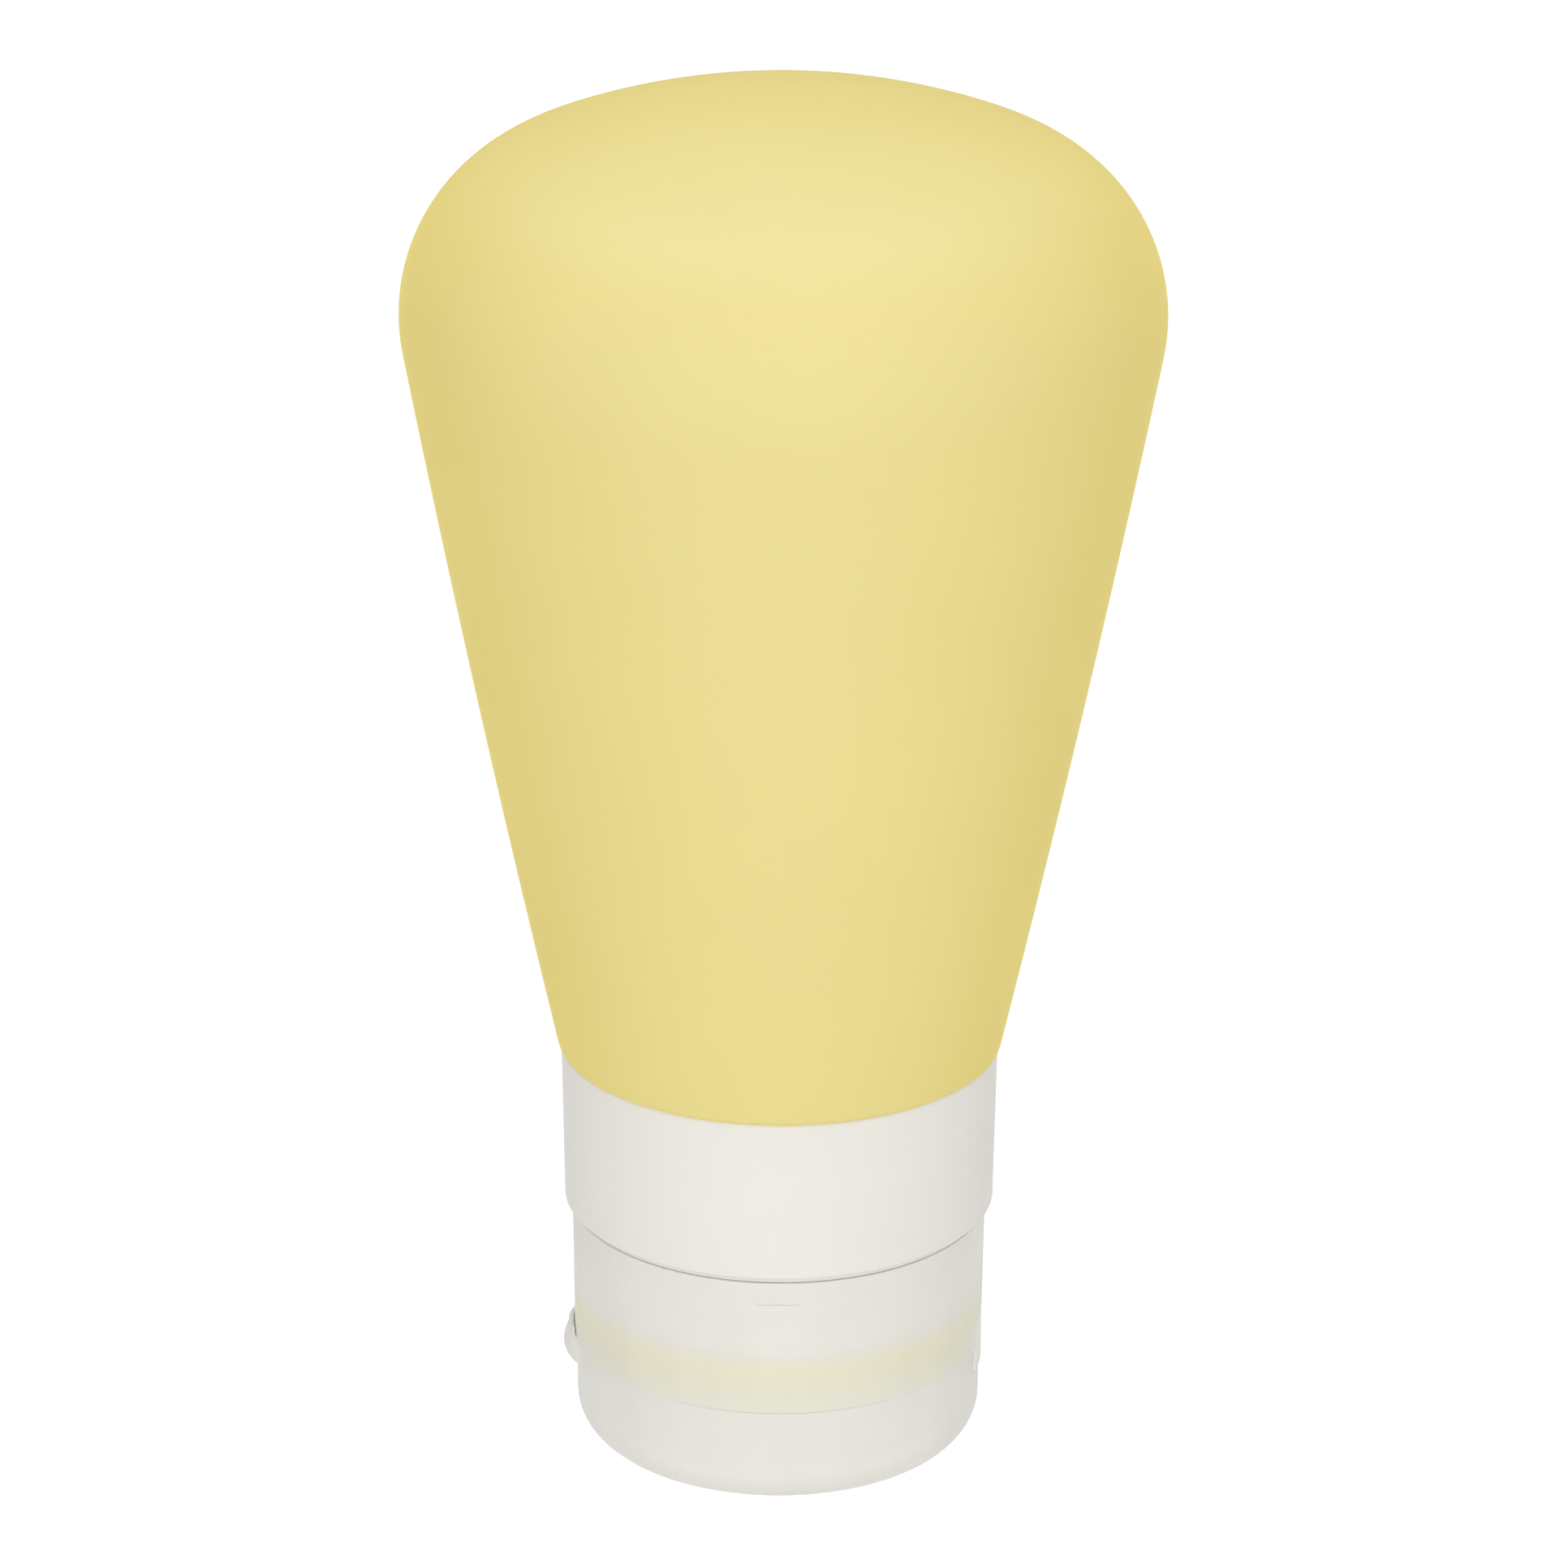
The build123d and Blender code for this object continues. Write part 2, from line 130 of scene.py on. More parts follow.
# %% Turn a closed outline round the axis
def round_corner(before, corner, after, radius, steps):
    """Points of a curve that rounds the corner and starts and ends where an arc of the radius would."""
    to_before = Vector(before) - Vector(corner)
    to_after = Vector(after) - Vector(corner)
    half_angle = to_before.angle(to_after) / 2
    reach = radius / abs(tan(half_angle))
    reach = min(reach, to_before.length / 2, to_after.length / 2)
    start = Vector(corner) + to_before.normalized() * reach
    end = Vector(corner) + to_after.normalized() * reach
    points = []
    for index in range(steps + 1):
        share = index / steps
        a = start.lerp(Vector(corner), share)
        b = Vector(corner).lerp(end, share)
        points.append(tuple(a.lerp(b, share)))
    return points


def rounded_outline(corners, steps=4):
    """Points for a closed outline of corners (radius, height, rounding)."""
    points = []
    for index, (radius, height, rounding) in enumerate(corners):
        if rounding == 0:
            points.append((radius, height))
            continue
        before = corners[index - 1][:2]
        after = corners[(index + 1) % len(corners)][:2]
        points += round_corner(before, (radius, height), after, rounding, steps)
    return points


def turn(name, points, segments=SEGMENTS, sweep=2 * pi):
    """Spin a closed outline, whose points may lie on the axis, into a watertight turned piece."""
    piece = start_vertex(name, (points[0][0], 0, points[0][1]))
    draw_outline(points + points[:1])
    bpy.ops.mesh.select_all(action="SELECT")
    bpy.ops.mesh.remove_doubles(threshold=MERGE_DISTANCE)
    bpy.ops.mesh.select_all(action="SELECT")
    bpy.ops.mesh.spin(steps=segments, angle=sweep, center=(0, 0, 0), axis=(0, 0, 1))
    bpy.ops.mesh.select_all(action="SELECT")
    bpy.ops.mesh.remove_doubles(threshold=MERGE_DISTANCE)
    bpy.ops.mesh.delete_loose(use_faces=False)
    if sweep < 2 * pi:
        close_ends(piece)
    bpy.ops.mesh.select_all(action="SELECT")
    bpy.ops.mesh.normals_make_consistent(inside=False)
    bpy.ops.object.mode_set(mode="OBJECT")
    return piece


def close_ends(piece):
    """Fill the two open ends of a piece that was spun only part of the way round."""
    mesh = bmesh.from_edit_mesh(piece.data)
    open_edges = [edge for edge in mesh.edges if edge.is_boundary]
    first_end = [edge for edge in open_edges if abs(edge.verts[0].co.y) < MERGE_DISTANCE]
    second_end = [edge for edge in open_edges if edge not in first_end]
    for end in (first_end, second_end):
        bpy.ops.mesh.select_all(action="DESELECT")
        for edge in end:
            edge.select_set(True)
        bmesh.update_edit_mesh(piece.data)
        bpy.ops.mesh.fill()


def shade_smooth(piece, degrees=35):
    """Shade a finished piece smooth, with sharp edges kept where faces meet at a steep angle."""
    clear_selection()
    piece.select_set(True)
    bpy.context.view_layer.objects.active = piece
    bpy.ops.object.shade_smooth_by_angle(angle=radians(degrees))
    piece.select_set(False)


# %% [markdown]
# ## The flask
# The real flask is moulded in one piece of silicone, about 2 mm thick. Its side is nearly straight
# and widens away from the collar, then turns through a tight shoulder into a gently domed end. Three
# arcs that touch each other draw that outline, so no crease shows where they meet. The inner wall is
# the same outline, moved in by the wall's thickness.

# %% Measure the flask's place
flask_low, flask_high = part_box("bottle_body")
collar_low, collar_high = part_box("collar")
FLASK_TOP = flask_high.z
FLASK_RADIUS = (flask_high.x - flask_low.x) / 2
NECK_LEVEL = collar_high.z
COLLAR_RADIUS = (collar_high.x - collar_low.x) / 2
FLASK_NECK_RADIUS = COLLAR_RADIUS + 0.2 * MM
SHOULDER_RADIUS = 13.1 * MM
DOME_RISE = 2.75 * MM
SIDE_BOW = 0.25 * MM
FLASK_WALL = 2.0 * MM
print("flask", FLASK_RADIUS, "to", FLASK_TOP)


# %% Work out the flask's outline
def flask_arcs():
    """Centres of the side, shoulder and dome arcs, the side's radius, and the angles where they meet."""
    shoulder = (FLASK_RADIUS - SHOULDER_RADIUS, FLASK_TOP - DOME_RISE - SHOULDER_RADIUS)
    neck = (FLASK_NECK_RADIUS, NECK_LEVEL)
    span = hypot(shoulder[0] - neck[0], shoulder[1] - neck[1])
    side_radius = (span**2 - SHOULDER_RADIUS**2) / (8 * SIDE_BOW)
    reach = side_radius - SHOULDER_RADIUS
    along = (side_radius**2 - reach**2 + span**2) / (2 * span)
    heading = atan2(shoulder[1] - neck[1], shoulder[0] - neck[0]) + acos(along / side_radius)
    side = (neck[0] + side_radius * cos(heading), neck[1] + side_radius * sin(heading))
    middle = (FLASK_TOP - SHOULDER_RADIUS + shoulder[1]) / 2
    dome = (0, middle - shoulder[0] ** 2 / (2 * DOME_RISE))
    side_angle = atan2(shoulder[1] - side[1], shoulder[0] - side[0])
    dome_angle = atan2(shoulder[1] - dome[1], shoulder[0] - dome[0])
    return side, side_radius, shoulder, side_angle, dome, dome_angle


def flask_outline(inset, base_level, side_steps=40, shoulder_steps=28, dome_steps=24):
    """Points along the flask's outline, moved in by inset, from base_level up to the axis."""
    side, side_radius, shoulder, side_angle, dome, dome_angle = flask_arcs()
    base_angle = asin((base_level - side[1]) / (side_radius - inset))
    points = []
    for centre, radius, first, last, steps in (
        (side, side_radius, base_angle, side_angle, side_steps),
        (shoulder, SHOULDER_RADIUS, side_angle, dome_angle, shoulder_steps),
        (dome, FLASK_TOP - dome[1], dome_angle, pi / 2, dome_steps),
    ):
        for index in range(steps):
            angle = first + (last - first) * index / steps
            across = centre[0] + (radius - inset) * cos(angle)
            points.append((across, centre[1] + (radius - inset) * sin(angle)))
    points.append((0, FLASK_TOP - inset))
    return points


# %% Turn the flask
SLEEVE_BORE = 12.55 * MM
SLEEVE_RADIUS = 14.45 * MM
SLEEVE_END_RADIUS = 14.2 * MM
SLEEVE_STEP = 0.7 * MM
NECK_ROUND = 0.5 * MM
sleeve_bottom = flask_low.z
flask_points = [
    (SLEEVE_BORE, sleeve_bottom),
    (SLEEVE_END_RADIUS, sleeve_bottom),
    (SLEEVE_END_RADIUS, sleeve_bottom + SLEEVE_STEP),
    (SLEEVE_RADIUS, sleeve_bottom + SLEEVE_STEP),
    (SLEEVE_RADIUS, NECK_LEVEL),
]
outer = flask_outline(0, NECK_LEVEL)
flask_points += round_corner((SLEEVE_RADIUS, NECK_LEVEL), outer[0], outer[4], NECK_ROUND, 5)
flask_points += outer[1:]
inner = flask_outline(FLASK_WALL, NECK_LEVEL + FLASK_WALL)
flask_points += inner[::-1]
flask_points.append((SLEEVE_BORE, NECK_LEVEL))
flask = turn("flask", flask_points)
shade_smooth(flask)
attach(flask, "bottle")
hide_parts("bottle_body")
print("flask:", len(flask.data.vertices), "vertices")

# %% [markdown]
# ## The mouth gasket
# A soft ring lies between the cap's deck and the mouth of the bottle, and is what the frosted cap shows
# as a yellowish band. It is turned like the flask, from a section with rounded corners and a low rib
# on either face, which bites on the plastic and keeps the bottle tight.

# %% Turn the gasket
gasket_low, gasket_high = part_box("mouth_gasket")
GASKET_BORE = 10.25 * MM
GASKET_ROUND = 0.25 * MM
RIB_WIDTH = 0.8 * MM
RIB_HEIGHT = 0.12 * MM
gasket_radius = (gasket_high.x - gasket_low.x) / 2
rib_middle = (GASKET_BORE + gasket_radius) / 2
gasket_corners = [
    (GASKET_BORE, gasket_low.z + RIB_HEIGHT, GASKET_ROUND),
    (rib_middle - RIB_WIDTH / 2, gasket_low.z + RIB_HEIGHT, 0),
    (rib_middle, gasket_low.z, RIB_WIDTH / 2),
    (rib_middle + RIB_WIDTH / 2, gasket_low.z + RIB_HEIGHT, 0),
    (gasket_radius, gasket_low.z + RIB_HEIGHT, GASKET_ROUND),
    (gasket_radius, gasket_high.z - RIB_HEIGHT, GASKET_ROUND),
    (rib_middle + RIB_WIDTH / 2, gasket_high.z - RIB_HEIGHT, 0),
    (rib_middle, gasket_high.z, RIB_WIDTH / 2),
    (rib_middle - RIB_WIDTH / 2, gasket_high.z - RIB_HEIGHT, 0),
    (GASKET_BORE, gasket_high.z - RIB_HEIGHT, GASKET_ROUND),
]
gasket = turn("gasket", rounded_outline(gasket_corners))
shade_smooth(gasket)
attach(gasket, "gasket")
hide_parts("mouth_gasket")
print("gasket:", len(gasket.data.vertices), "vertices")

# %% [markdown]
# ## The flow valve
# A little silicone valve in the nozzle keeps the liquid in until the flask is squeezed. It has a flange
# on the deck, a skirt down the nozzle and a closed end, dished inside, with a cross slit. The body is
# turned, and the slit is cut right through the end with two thin blocks and the Boolean modifier.

# %% Turn the valve
valve_low, valve_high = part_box("flow_valve")
VALVE_SKIRT_RADIUS = 2.95 * MM
VALVE_WALL = 0.6 * MM
VALVE_FLANGE_HEIGHT = 1.0 * MM
VALVE_DISH_DEPTH = 0.2 * MM
VALVE_DISH_ROUND = 0.4 * MM
VALVE_ROUND = 0.2 * MM
valve_radius = (valve_high.x - valve_low.x) / 2
valve_bore = VALVE_SKIRT_RADIUS - VALVE_WALL
valve_corners = [
    (0, valve_low.z, 0),
    (VALVE_SKIRT_RADIUS, valve_low.z, VALVE_ROUND),
    (VALVE_SKIRT_RADIUS, valve_high.z - VALVE_FLANGE_HEIGHT, 0),
    (valve_radius, valve_high.z - VALVE_FLANGE_HEIGHT, VALVE_ROUND),
    (valve_radius, valve_high.z, VALVE_ROUND),
    (valve_bore, valve_high.z, VALVE_ROUND),
    (valve_bore, valve_low.z + VALVE_WALL + VALVE_DISH_DEPTH, VALVE_DISH_ROUND),
    (0, valve_low.z + VALVE_WALL, 0),
]
valve = turn("valve", rounded_outline(valve_corners, steps=6), segments=96)

# %% Cut the cross slit
SLIT_LENGTH = 3.0 * MM
SLIT_WIDTH = 0.15 * MM
SLIT_DEPTH = 3.0 * MM
for length, width in ((SLIT_LENGTH, SLIT_WIDTH), (SLIT_WIDTH, SLIT_LENGTH)):
    clear_selection()
    bpy.ops.mesh.primitive_cube_add(size=1, location=(0, 0, valve_low.z))
    blade = bpy.context.object
    blade.scale = (length, width, SLIT_DEPTH)
    bpy.ops.object.transform_apply(location=True, rotation=True, scale=True)
    cut = valve.modifiers.new("slit", "BOOLEAN")
    cut.operation = "DIFFERENCE"
    cut.object = blade
    clear_selection()
    valve.select_set(True)
    bpy.context.view_layer.objects.active = valve
    bpy.ops.object.modifier_apply(modifier=cut.name)
    bpy.data.objects.remove(blade)
shade_smooth(valve)
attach(valve, "cap")
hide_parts("flow_valve")
print("valve:", len(valve.data.vertices), "vertices")

# %% [markdown]
# ## The living hinge
# Cap and lid are moulded together with a thin strap between them. It has to bend as the lid opens, so
# it is divided finely along its height and thinned by a groove at the parting. The spin leaves it in
# front of the hinge, so it is turned back by half its width.

# %% Spin the strap
hinge_low, hinge_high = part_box("living_hinge")
HINGE_THICKNESS = 0.45 * MM
GROOVE_DEPTH = 0.2 * MM
GROOVE_REACH = 0.45 * MM
HINGE_LEVELS = 40
HINGE_SEGMENTS = 24
hinge_radius = hinge_high.x
hinge_sweep = 2 * asin(hinge_high.y / hinge_radius)
hinge_middle = (hinge_low.z + hinge_high.z) / 2
inner_side = []
outer_side = []
for index in range(HINGE_LEVELS + 1):
    level = hinge_low.z + (hinge_high.z - hinge_low.z) * index / HINGE_LEVELS
    share = min(abs(level - hinge_middle) / GROOVE_REACH, 1)
    groove = GROOVE_DEPTH * (1 + cos(pi * share)) / 2
    inner_side.append((hinge_radius - HINGE_THICKNESS + groove, level))
    outer_side.append((hinge_radius, level))
hinge = turn("hinge", inner_side + outer_side[::-1], segments=HINGE_SEGMENTS, sweep=hinge_sweep)
hinge.rotation_euler.z = hinge_sweep / 2
bpy.ops.object.transform_apply(location=True, rotation=True, scale=True)
shade_smooth(hinge)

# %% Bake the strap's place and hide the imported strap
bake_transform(hinge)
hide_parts("living_hinge")
print("hinge:", len(hinge.data.vertices), "vertices")

# %% [markdown]
# ## The screw cap and the flip lid
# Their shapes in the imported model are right, down to the thread, the nozzle and the thumb tab. What
# they need is two finishes: the mould is textured outside, which frosts the plastic, and polished
# inside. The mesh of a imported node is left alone, so each is copied and its loose triangles are merged.
# Long triangles would carry the shading of a rounded edge across the whole wall. So the copies are cut
# across beside each rounding and round the index mark, and the wall between stays evenly shaded. The
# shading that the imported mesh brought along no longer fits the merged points, so it is cleared.


# %% Copy a node
def copy_node(name, node_name):
    """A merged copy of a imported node, at rest in the same place, left in edit mode."""
    piece = bpy.data.objects.new(name, nodes[node_name].data.copy())
    bpy.context.scene.collection.objects.link(piece)
    piece.data.name = name
    clear_selection()
    piece.select_set(True)
    bpy.context.view_layer.objects.active = piece
    bpy.ops.mesh.customdata_custom_splitnormals_clear()
    bpy.ops.object.mode_set(mode="EDIT")
    bpy.ops.mesh.select_all(action="SELECT")
    bpy.ops.mesh.remove_doubles(threshold=MERGE_DISTANCE)
    return piece


def cut_across(axis, places):
    """Add edges to the piece in edit mode wherever it crosses planes at places along the axis."""
    for place in places:
        point = [0, 0, 0]
        facing = [0, 0, 0]
        point[axis] = place
        facing[axis] = 1
        bpy.ops.mesh.select_all(action="SELECT")
        bpy.ops.mesh.bisect(plane_co=point, plane_no=facing)


# %% Make the cap
parting_level = hinge_middle
cap_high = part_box("cap_body")[1]
CAP_RIM_MARGIN = 0.3 * MM
INDEX_DEPTHS = (0.8 * MM, 1.9 * MM)
INDEX_HALF_WIDTH = 2.1 * MM
cap = copy_node("cap", "cap_body")
cut_across(2, [parting_level + CAP_RIM_MARGIN, cap_high.z - CAP_RIM_MARGIN])
cut_across(2, [cap_high.z - depth for depth in INDEX_DEPTHS])
cut_across(0, [-INDEX_HALF_WIDTH, INDEX_HALF_WIDTH])
bpy.ops.object.mode_set(mode="OBJECT")
shade_smooth(cap)
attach(cap, "cap")
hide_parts("cap_body")
print("cap:", len(cap.data.vertices), "vertices")

# %% Make the lid
ABOVE_FOOT_ROUND = 3.2 * MM
LID_RIM_MARGIN = 0.4 * MM
lid = copy_node("lid", "flip_lid")
cut_across(2, [ABOVE_FOOT_ROUND, parting_level - LID_RIM_MARGIN])
bpy.ops.object.mode_set(mode="OBJECT")
shade_smooth(lid)
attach(lid, "lid")
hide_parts("flip_lid")
print("lid:", len(lid.data.vertices), "vertices")


# %% Sort the faces by finish
INWARD = -0.3


def sort_faces(piece, bore_radius, low_level, high_level):
    """Slot 1 for the polished bore between two levels, slot 0 for the textured rest."""
    for face in piece.data.polygons:
        centre = face.center
        radial = Vector((centre.x, centre.y, 0))
        looks_in = face.normal.dot(radial.normalized()) < INWARD and radial.length > bore_radius
        inside = looks_in and low_level < centre.z < high_level
        face.material_index = 1 if inside else 0
    polished = sum(face.material_index for face in piece.data.polygons)
    print(piece.name, "has", polished, "polished faces of", len(piece.data.polygons))


# %% [markdown]
# ## Materials
# Every finish on this bottle is moulded, so they share a few effects: a slow change of tone where the
# pigment is not quite even, a fine grain from the mould, smudges from handling, and worn rims. Each
# effect is a node group, made once and placed in the materials with their own values. All of them
# read object coordinates in metres, so they stay in place on the piece.


# %% Small helpers for nodes
def node(tree, kind, sockets=(), **options):
    """Add a node, set its options, and set or link its sockets from (socket, value or link) pairs."""
    made = tree.nodes.new("ShaderNode" + kind)
    for option, value in options.items():
        setattr(made, option, value)
    for socket, value in sockets:
        if isinstance(value, bpy.types.NodeSocket):
            tree.links.new(value, made.inputs[socket])
        else:
            made.inputs[socket].default_value = value
    return made


def start_group(name, inputs, output):
    """A shader node group with inputs (name, kind, default) and one output (name, kind).

    It comes back with the sockets that give its inputs and the socket that takes its result.
    """
    group = bpy.data.node_groups.new(name, "ShaderNodeTree")
    for title, kind, default in inputs:
        socket = group.interface.new_socket(title, in_out="INPUT", socket_type="NodeSocket" + kind)
        socket.default_value = default
    group.interface.new_socket(output[0], in_out="OUTPUT", socket_type="NodeSocket" + output[1])
    entry = group.nodes.new("NodeGroupInput")
    leave = group.nodes.new("NodeGroupOutput")
    return group, entry.outputs, leave.inputs[output[0]]


def use_group(tree, group, sockets=()):
    """Place a group in a material and return its output."""
    return node(tree, "Group", sockets, node_tree=group).outputs[0]


# %% [markdown]
# ### Uneven tone
# Pigment is never quite even in a moulding. A soft noise makes the colour a few hundredths lighter and
# darker from place to place.

# %% The tone group
group, given, result = start_group(
    "uneven tone",
    [("Colour", "Color", (1, 1, 1, 1)), ("Scale", "Float", 60), ("Amount", "Float", 0.03)],
    ("Colour", "Color"),
)
place = node(group, "TexCoord").outputs["Object"]
cloud = node(group, "TexNoise", [("Vector", place), ("Scale", given["Scale"]), ("Detail", 3)])
centred = node(group, "MapRange", [(0, cloud.outputs[0]), (1, 0.25), (2, 0.75), (3, -1.0), (4, 1.0)])
level = node(
    group, "Math", [(0, centred.outputs[0]), (1, given["Amount"]), (2, 1.0)], operation="MULTIPLY_ADD"
)
toned = node(group, "VectorMath", [(0, given["Colour"]), ("Scale", level.outputs[0])], operation="SCALE")
group.links.new(toned.outputs[0], result)
uneven_tone = group
print("group:", group.name)

# %% [markdown]
# ### Mould grain
# A spark-eroded mould leaves a fine skin on the piece. Two sizes of noise are added: the grain itself,
# and a slower waviness like orange peel.

# %% The grain group
group, given, result = start_group(
    "mould grain",
    [("Scale", "Float", 4000), ("Waviness", "Float", 0.3)],
    ("Height", "Float"),
)
place = node(group, "TexCoord").outputs["Object"]
grain = node(
    group, "TexNoise", [("Vector", place), ("Scale", given["Scale"]), ("Detail", 4), ("Roughness", 0.6)]
)
slow_scale = node(group, "Math", [(0, given["Scale"]), (1, 0.08)], operation="MULTIPLY")
peel = node(group, "TexNoise", [("Vector", place), ("Scale", slow_scale.outputs[0]), ("Detail", 1)])
both = node(
    group,
    "Math",
    [(0, peel.outputs[0]), (1, given["Waviness"]), (2, grain.outputs[0])],
    operation="MULTIPLY_ADD",
)
group.links.new(both.outputs[0], result)
mould_grain = group
print("group:", group.name)

# %% [markdown]
# ### Handling
# Fingers leave a matte plastic or silicone a little glossier in patches. Broad patches are broken up by
# finer ones, and only change the roughness.

# %% The handling group
group, given, result = start_group(
    "handling",
    [("Roughness", "Float", 0.5), ("Amount", "Float", 0.08), ("Scale", "Float", 120)],
    ("Roughness", "Float"),
)
place = node(group, "TexCoord").outputs["Object"]
patch = node(
    group, "TexNoise", [("Vector", place), ("Scale", given["Scale"]), ("Detail", 6), ("Roughness", 0.7)]
)
centred = node(group, "MapRange", [(0, patch.outputs[0]), (1, 0.35), (2, 0.65), (3, -1.0), (4, 1.0)])
rough = node(
    group,
    "Math",
    [(0, centred.outputs[0]), (1, given["Amount"]), (2, given["Roughness"])],
    operation="MULTIPLY_ADD",
    use_clamp=True,
)
group.links.new(rough.outputs[0], result)
handling = group
print("group:", group.name)

# %% [markdown]
# ### Worn rims
# A rim rubs against a bag and a shelf, so its frosting or gloss wears. The mask is 1 on a rim at a given
# height and fades away from it, in patches.

# %% The rim group
group, given, result = start_group(
    "worn rim",
    [("Level", "Float", 0.0), ("Reach", "Float", 0.0006), ("Scale", "Float", 900)],
    ("Mask", "Float"),
)
place = node(group, "TexCoord").outputs["Object"]
height = node(group, "SeparateXYZ", [(0, place)]).outputs["Z"]
away = node(group, "Math", [(0, height), (1, given["Level"])], operation="SUBTRACT")
distance = node(group, "Math", [(0, away.outputs[0])], operation="ABSOLUTE")
near = node(
    group, "MapRange", [(0, distance.outputs[0]), (1, 0.0), (2, given["Reach"]), (3, 1.0), (4, 0.0)]
)
spots = node(group, "TexNoise", [("Vector", place), ("Scale", given["Scale"]), ("Detail", 4)])
broken = node(group, "MapRange", [(0, spots.outputs[0]), (1, 0.4), (2, 0.6), (3, 0.0), (4, 1.0)])
mask = node(
    group, "Math", [(0, near.outputs[0]), (1, broken.outputs[0])], operation="MULTIPLY", use_clamp=True
)
group.links.new(mask.outputs[0], result)
worn_rim = group
print("group:", group.name)

# %% [markdown]
# ### Flow lines
# In see-through plastic the melt leaves faint upright streaks as it fills the mould. Noise is read at
# the angle round the axis, and hardly at the height, so it draws long streaks down the side.

# %% The flow group
group, given, result = start_group(
    "flow lines",
    [("Colour", "Color", (1, 1, 1, 1)), ("Streaks", "Float", 5), ("Amount", "Float", 0.03)],
    ("Colour", "Color"),
)
place = node(group, "TexCoord").outputs["Object"]
parts = node(group, "SeparateXYZ", [(0, place)])
flat = node(group, "CombineXYZ", [("X", parts.outputs["X"]), ("Y", parts.outputs["Y"])])
heading = node(group, "VectorMath", [(0, flat.outputs[0])], operation="NORMALIZE")
rise = node(group, "Math", [(0, parts.outputs["Z"]), (1, 12.0)], operation="MULTIPLY")
up = node(group, "CombineXYZ", [("Z", rise.outputs[0])])
spot = node(group, "VectorMath", [(0, heading.outputs[0]), (1, up.outputs[0])], operation="ADD")
streak = node(group, "TexNoise", [("Vector", spot.outputs[0]), ("Scale", given["Streaks"]), ("Detail", 3)])
centred = node(group, "MapRange", [(0, streak.outputs[0]), (1, 0.3), (2, 0.7), (3, -1.0), (4, 1.0)])
level = node(
    group, "Math", [(0, centred.outputs[0]), (1, given["Amount"]), (2, 1.0)], operation="MULTIPLY_ADD"
)
toned = node(group, "VectorMath", [(0, given["Colour"]), ("Scale", level.outputs[0])], operation="SCALE")
group.links.new(toned.outputs[0], result)
flow_lines = group
print("group:", group.name)


# %% Start a material
def start_material(name):
    """A new material with its node tree and its shader."""
    material = bpy.data.materials.new(name)
    material.use_nodes = True
    return material, material.node_tree, material.node_tree.nodes["Principled BSDF"]


def feed(tree, shader, colour, roughness, height, depth):
    """Link colour and roughness to the shader, and the height through a bump of that depth."""
    bump = node(tree, "Bump", [("Height", height), ("Distance", depth)])
    tree.links.new(colour, shader.inputs["Base Color"])
    tree.links.new(roughness, shader.inputs["Roughness"])
    tree.links.new(bump.outputs["Normal"], shader.inputs["Normal"])


# %% [markdown]
# ### Silicone
# The flask is dyed through and dead matte. Light goes a little way in, so the yellow deepens where it
# is seen at a flat angle. A thin coat with a yellow tint does that: its tint counts more where the
# light's way through it is longer. A low index of refraction keeps it from adding gloss of its own, and
# a soft yellow sheen stands for the light that leaks out along the silhouette. Over the domed end the
# yellow is painted paler by height, a painted highlight on the dome, which faces up into the light.


# %% The silicone materials
def silicone_material(name, colour, painted_highlight_colour, painted_highlight_levels, tone_amount, grain_depth):
    """Matte dyed silicone with a painted highlight that turns it paler from the lower to the higher of two
    levels.
    """
    material, tree, shader = start_material(name)
    place = node(tree, "TexCoord").outputs["Object"]
    height = node(tree, "SeparateXYZ", [(0, place)]).outputs["Z"]
    # Painted highlight: a mask by height that pales the yellow over the domed end.
    painted_highlight = node(
        tree,
        "MapRange",
        [(0, height), (1, painted_highlight_levels[0]), (2, painted_highlight_levels[1]), (3, 0.0), (4, 1.0)],
        interpolation_type="SMOOTHSTEP",
    )
    # The dye colour mixed towards the paler colour of the painted highlight over the dome.
    colour_and_painted_light = node(tree, "MixRGB", [(0, painted_highlight.outputs[0]), (1, (*colour, 1)), (2, (*painted_highlight_colour, 1))])
    tone = use_group(tree, uneven_tone, [("Colour", colour_and_painted_light.outputs[0]), ("Scale", 55), ("Amount", tone_amount)])
    rough = use_group(tree, handling, [("Roughness", 0.62), ("Amount", 0.06), ("Scale", 140)])
    grain = use_group(tree, mould_grain, [("Scale", 5000), ("Waviness", 0.5)])
    feed(tree, shader, tone, rough, grain, grain_depth)
    shader.inputs["Specular IOR Level"].default_value = 0.3
    shader.inputs["Coat Weight"].default_value = 1.0
    shader.inputs["Coat Roughness"].default_value = 0.7
    shader.inputs["Coat IOR"].default_value = 1.1
    shader.inputs["Coat Tint"].default_value = (1.0, 0.97, 0.70, 1)
    shader.inputs["Sheen Weight"].default_value = 0.55
    shader.inputs["Sheen Roughness"].default_value = 0.5
    shader.inputs["Sheen Tint"].default_value = (1.0, 0.82, 0.35, 1)
    return material


# Height over which the painted highlight on the domed end fades in.
DOME_FADE = 9 * MM
dome_highlight_levels = (FLASK_TOP - DOME_FADE, FLASK_TOP - DOME_RISE)
flask_silicone = silicone_material(
    "yellow silicone", (0.86, 0.77, 0.455), (0.88, 0.81, 0.58), dome_highlight_levels, 0.015, 0.012 * MM
)
seal_yellow = (0.86, 0.66, 0.12)
seal_silicone = silicone_material("seal silicone", seal_yellow, seal_yellow, dome_highlight_levels, 0.02, 0.008 * MM)
print("materials:", flask_silicone.name, "and", seal_silicone.name)


# %% [markdown]
# ### White plastic
# The collar is opaque white, moulded satin, and its two rims are worn a little smoother. The insert and
# the ring that holds the valve are the same plastic without dye, which looks like skimmed milk.


# %% The white plastic materials
RIM_WEAR = 0.1


